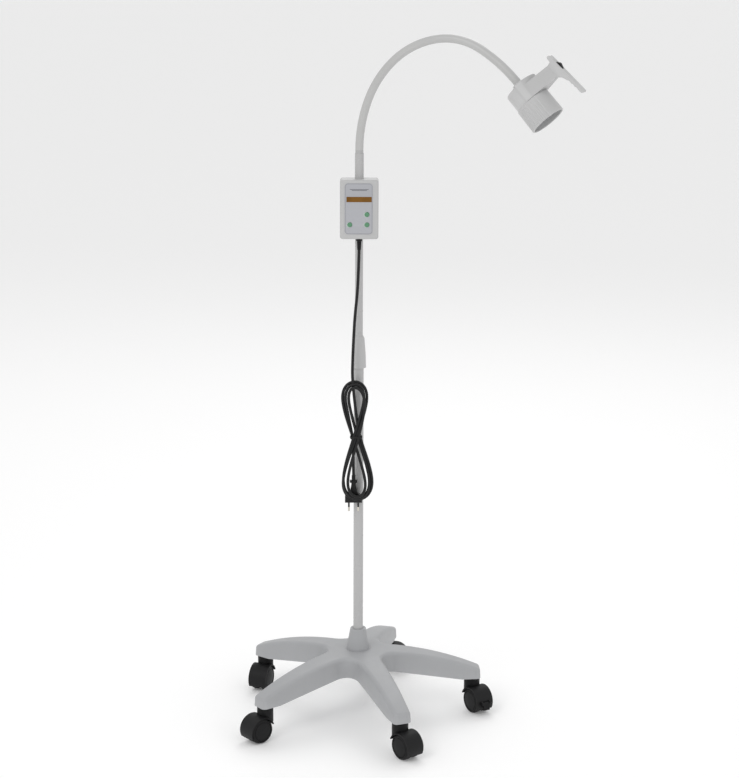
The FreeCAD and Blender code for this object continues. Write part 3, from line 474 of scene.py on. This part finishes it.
INK_LIFT = 0.00006
BORDER_INSET = 0.0009
BORDER_WIDTH = 0.0006
BORDER_RADIUS = 0.0060
CORNER_STEPS = 8
SPOT_RADIUS = 0.0052
SPOT_SIDES = 32
RULE_WIDTH = 0.0009


def rounded_outline(left, right, low, high, radius):
    """Points of a rounded rectangle, anticlockwise from its lower right corner."""
    corners = [(right - radius, low + radius, -90), (right - radius, high - radius, 0),
               (left + radius, high - radius, 90), (left + radius, low + radius, 180)]
    points = []
    for across, up, first in corners:
        for step in range(CORNER_STEPS + 1):
            angle = math.radians(first + 90 * step / CORNER_STEPS)
            points.append((across + radius * math.cos(angle), up + radius * math.sin(angle)))
    return points


def printed_band(name, outer, inner, front, material):
    """Ink between two outlines with the same number of points."""
    count = len(outer)
    vertices = [(across, front, up) for across, up in outer + inner]
    faces = [(item, (item + 1) % count, count + (item + 1) % count, count + item)
             for item in range(count)]
    new_piece(name, vertices, faces, material, "column")


def printed_shape(name, outlines, front, material):
    """Flat ink inside each outline."""
    vertices = []
    faces = []
    for points in outlines:
        first = len(vertices)
        vertices += [(across, front, up) for across, up in points]
        faces.append(tuple(range(first, first + len(points))))
    new_piece(name, vertices, faces, material, "column")


def make_printing():
    """Fine border, a pale spot behind each key and two plain rules above the display."""
    low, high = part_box("panel_overlay")
    front = low[1] - INK_LIFT
    inset = BORDER_INSET
    edges = (low[0] + inset, high[0] - inset, low[2] + inset, high[2] - inset)
    thin = BORDER_WIDTH
    outer = rounded_outline(*edges, BORDER_RADIUS)
    inner = rounded_outline(edges[0] + thin, edges[1] - thin, edges[2] + thin,
                            edges[3] - thin, BORDER_RADIUS - thin)
    printed_band("panel_border", outer, inner, front, INK)
    spots = []
    for key in ("upper", "lower", "left"):
        key_low, key_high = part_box(f"button_{key}")
        across = (key_low[0] + key_high[0]) / 2 - 0.0017
        up = (key_low[2] + key_high[2]) / 2 - 0.0004
        angles = [2 * math.pi * step / SPOT_SIDES for step in range(SPOT_SIDES)]
        spots.append([(across + SPOT_RADIUS * math.cos(angle),
                       up + SPOT_RADIUS * math.sin(angle)) for angle in angles])
    printed_shape("panel_key_spots", spots, front, PALE_INK)
    rules = []
    middle = (low[0] + high[0]) / 2 + 0.001
    for up, half in ((0.0126, 0.0185), (0.0146, 0.0150)):
        top = high[2] - up
        rules.append([(middle - half, top), (middle + half, top),
                      (middle + half, top + RULE_WIDTH), (middle - half, top + RULE_WIDTH)])
    printed_shape("panel_rules", rules, front, DARK_INK)


make_printing()


# Studio ---------------------------------------------------------------------------

FLOOR_HALF = 40
# Name, place, power and size of each lamp.
LAMPS = [("key", (-2.2, -3.0, 3.6), 38, 2.0),
         ("fill", (2.8, -2.6, 2.2), 10, 2.5),
         ("rim", (0.5, 2.6, 3.2), 22, 2.0)]
LAMPS_AIM = (0, 0, 0.8)


def make_floor():
    """Wide pale floor that glows a little, so that it stays near white."""
    mesh = bpy.data.meshes.new("floor")
    far = FLOOR_HALF
    mesh.from_pydata([(-far, -far, 0), (far, -far, 0), (far, far, 0), (-far, far, 0)], [],
                     [(0, 1, 2, 3)])
    floor = bpy.data.objects.new("floor", mesh)
    bpy.context.scene.collection.objects.link(floor)
    shade = Shade("pale_floor", (0.93, 0.93, 0.93), 0.7)
    shade.vary_roughness(shade.noise(2, 3), 0.05)
    shade.shader.inputs["Emission Color"].default_value = (1, 1, 1, 1)
    shade.shader.inputs["Emission Strength"].default_value = 0.08
    mesh.materials.append(shade.material)


def make_lights():
    """Even white surroundings with three soft lamps."""
    world = bpy.data.worlds.new("studio")
    world.use_nodes = True
    world.node_tree.nodes["Background"].inputs["Color"].default_value = (1, 1, 1, 1)
    world.node_tree.nodes["Background"].inputs["Strength"].default_value = 0.8
    bpy.context.scene.world = world
    for name, place, power, size in LAMPS:
        data = bpy.data.lights.new(name, "AREA")
        data.energy = power
        data.size = size
        lamp = bpy.data.objects.new(name, data)
        aim = Vector(LAMPS_AIM) - Vector(place)
        turn = aim.to_track_quat("-Z", "Y").to_matrix().to_4x4()
        lamp.matrix_world = Matrix.Translation(place) @ turn
        bpy.context.scene.collection.objects.link(lamp)
    bpy.context.scene.view_settings.view_transform = "Standard"


make_floor()
make_lights()


# Result ---------------------------------------------------------------------------

def write_sizes():
    import json


write_sizes()
